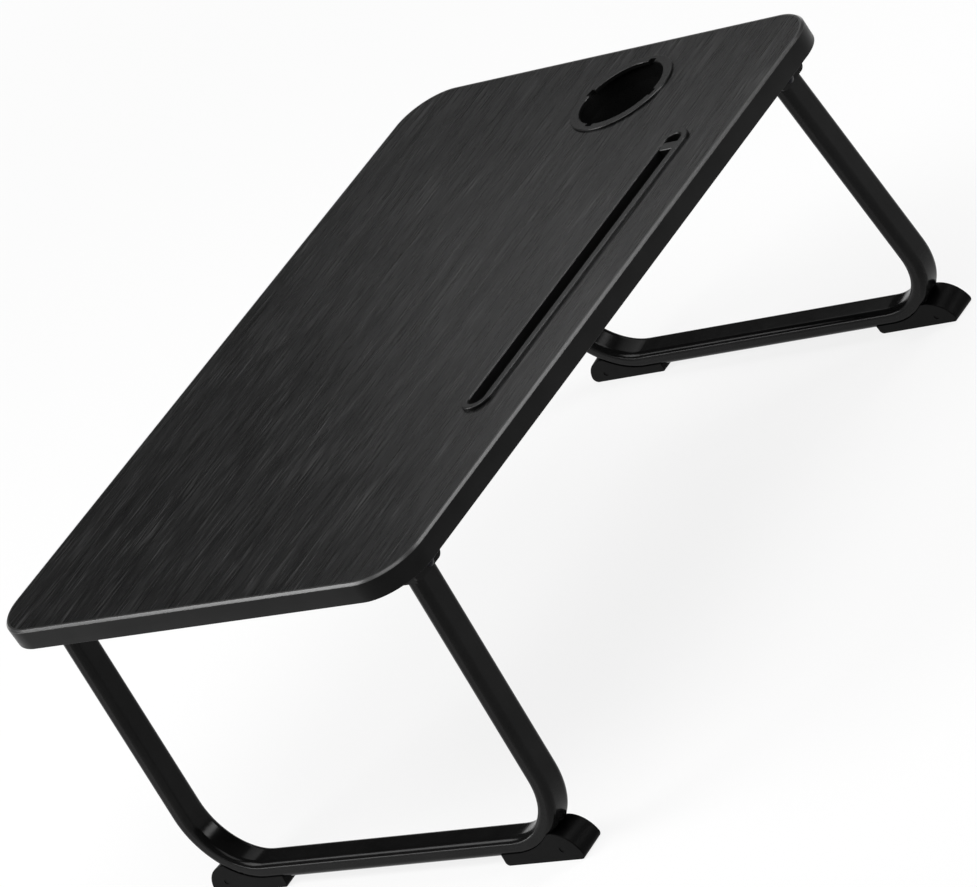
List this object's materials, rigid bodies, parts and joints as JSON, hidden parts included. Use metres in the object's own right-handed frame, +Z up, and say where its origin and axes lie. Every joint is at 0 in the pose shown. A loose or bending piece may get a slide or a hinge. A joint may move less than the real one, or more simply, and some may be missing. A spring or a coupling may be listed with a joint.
{
  "type": "folding laptop table",
  "caption": "Low black laptop table for a bed: a wood-grain board with a cup holder and a tablet slot, on U-shaped tube legs that fold flat under it.",
  "frame": {"origin": "on the ground under the middle of the board, with both legs open", "axes": "+X along the board away from the cup holder, +Y from the user's side to the tablet slot's side, +Z up"},
  "size_m": [0.6, 0.4, 0.257],
  "materials": {
    "fibreboard": "raw",
    "woodgrain_laminate": "embossed wood grain, satin",
    "underside_film": "matt",
    "edge_band_pvc": "satin",
    "cup_plastic": "satin",
    "slot_plastic": "satin",
    "leg_paint": "gloss",
    "bracket_paint": "satin",
    "rivet_steel": "blackened",
    "screw_steel": "blackened",
    "plug_nylon": "satin",
    "foot_plastic": "satin"
  },
  "bodies": {
    "tabletop": {"tabletop_core": "fibreboard", "top_laminate": "woodgrain_laminate", "underside_sheet": "underside_film", "edge_band": "edge_band_pvc", "cup_ring": "cup_plastic", "cup": "cup_plastic", "tablet_slot_insert": "slot_plastic", "bracket_screws": "screw_steel", "hinge_bracket_right_front": "bracket_paint", "hinge_bracket_right_rear": "bracket_paint", "hinge_bracket_left_front": "bracket_paint", "hinge_bracket_left_rear": "bracket_paint", "pivot_rivet_right_front": "rivet_steel", "pivot_rivet_right_rear": "rivet_steel", "pivot_rivet_left_front": "rivet_steel", "pivot_rivet_left_rear": "rivet_steel"},
    "leg_right": {"leg_tube_right": "leg_paint", "tube_plug_right_front": "plug_nylon", "tube_plug_right_rear": "plug_nylon", "foot_right_front": "foot_plastic", "foot_right_rear": "foot_plastic", "foot_screws_right": "screw_steel"},
    "leg_left": {"leg_tube_left": "leg_paint", "tube_plug_left_front": "plug_nylon", "tube_plug_left_rear": "plug_nylon", "foot_left_front": "foot_plastic", "foot_left_rear": "foot_plastic", "foot_screws_left": "screw_steel"}
  },
  "joints": [
    {"name": "fold_right", "type": "hinge", "parent": "tabletop", "child": "leg_right", "pos_m": [0.2527, 0, 0.23], "axis": [0, 1, 0], "range_deg": [0, 95]},
    {"name": "fold_left", "type": "hinge", "parent": "tabletop", "child": "leg_left", "pos_m": [-0.2527, 0, 0.23], "axis": [0, -1, 0], "range_deg": [0, 95]}
  ]
}
